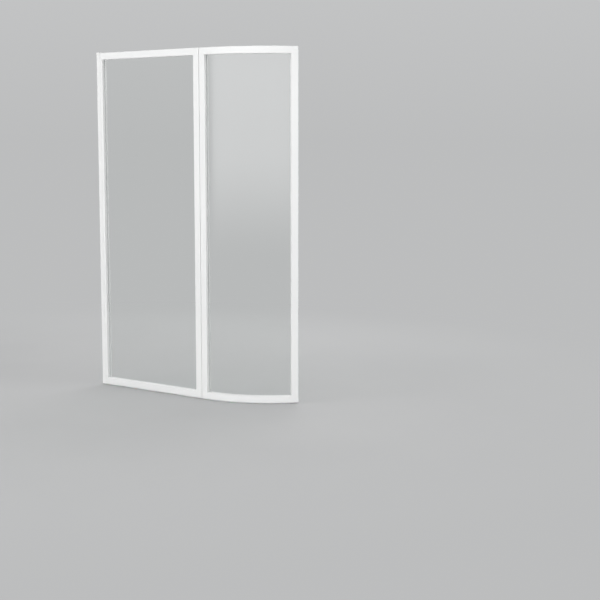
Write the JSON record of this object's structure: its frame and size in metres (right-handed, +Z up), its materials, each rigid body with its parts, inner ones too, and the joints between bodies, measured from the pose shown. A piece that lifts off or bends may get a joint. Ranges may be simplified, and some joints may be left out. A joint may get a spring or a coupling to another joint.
{
  "type": "bath screen",
  "caption": "Framed bath screen with a flat glass leaf fixed in a wall channel and a curved glass leaf hinged to it, in white lacquered aluminium.",
  "frame": {"origin": "on the wall plane, at mid depth of the frame, at the foot of the wall channel; the bath rim is 5 mm lower", "axes": "+X from the wall along the flat leaf, +Y into the bath, +Z up"},
  "size_m": [0.9875, 0.1929, 1.5061],
  "materials": {
    "white_lacquer": "satin white lacquer on extruded aluminium",
    "white_plastic": "moulded white plastic",
    "clear_glass": "clear, faint green at the edges",
    "glazing_rubber": "pale grey extruded gasket",
    "soft_seal": "pale soft extruded seal",
    "steel": "stainless",
    "key_aluminium": "sawn extrusion, bare",
    "nylon": "natural nylon"
  },
  "bodies": {
    "fixed_screen": {"flat_bottom_rail": "white_lacquer", "flat_bottom_seal": "soft_seal", "flat_corner_keys": "key_aluminium", "flat_corner_screws": "steel", "flat_glass": "clear_glass", "flat_glazing_gasket": "glazing_rubber", "flat_lead_stile": "white_lacquer", "flat_top_rail": "white_lacquer", "flat_wall_stile": "white_lacquer", "fold_hinge_pin": "steel", "fold_hinge_pin_caps": "white_plastic", "fold_hinge_washers": "nylon", "fold_seam_seal": "soft_seal", "lock_screw_covers": "white_plastic", "lock_screws": "steel", "wall_channel": "white_lacquer", "wall_channel_cap": "white_plastic"},
    "curved_leaf": {"curved_bottom_rail": "white_lacquer", "curved_bottom_seal": "soft_seal", "curved_corner_keys": "key_aluminium", "curved_corner_screws": "steel", "curved_end_stile": "white_lacquer", "curved_glass": "clear_glass", "curved_glazing_gasket": "glazing_rubber", "curved_hinge_stile": "white_lacquer", "curved_top_rail": "white_lacquer"}
  },
  "joints": [
    {"name": "leaf_swing", "type": "hinge", "parent": "fixed_screen", "child": "curved_leaf", "pos_m": [0.594, 0.019, 0.75], "axis": [0, 0, 1], "range_deg": [0, 150]}
  ]
}
